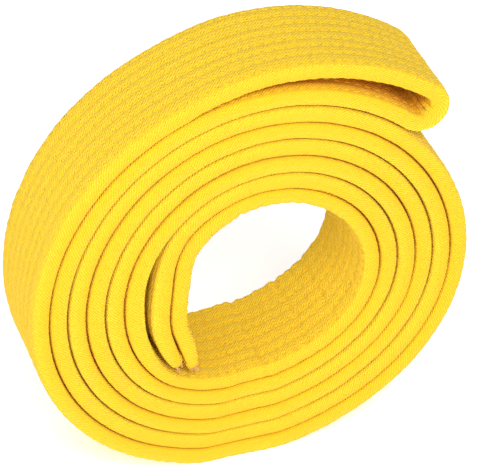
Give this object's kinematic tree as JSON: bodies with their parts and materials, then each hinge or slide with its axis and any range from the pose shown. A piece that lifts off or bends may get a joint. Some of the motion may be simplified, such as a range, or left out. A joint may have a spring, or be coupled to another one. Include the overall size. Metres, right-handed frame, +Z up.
{
  "type": "martial arts belt",
  "caption": "Quilted cloth belt folded in half and rolled into a flat coil with an open centre, standing on its rim, the fold making a loop at the outer end.",
  "frame": {"origin": "middle of the coil's length and width, on the floor that the rim stands on", "axes": "+Z up, +Y along the coil's axis from its open front face to its back, +X to the right seen from the front"},
  "size_m": [0.1536, 0.04, 0.1553],
  "materials": {
    "twill": "quilted cotton twill",
    "core_cloth": "plain interlining",
    "thread": "polyester sewing thread",
    "frayed_thread": "loose thread"
  },
  "bodies": {
    "root": {"cover": "twill", "core_strip_1": "core_cloth", "core_strip_2": "core_cloth", "core_strip_3": "core_cloth", "core_strip_4": "core_cloth", "inner_end_oversewing": "thread", "outer_end_oversewing": "thread", "inner_end_thread_tail_1": "frayed_thread", "inner_end_thread_tail_2": "frayed_thread", "outer_end_thread_tail_1": "frayed_thread", "outer_end_thread_tail_2": "frayed_thread"}
  },
  "joints": []
}
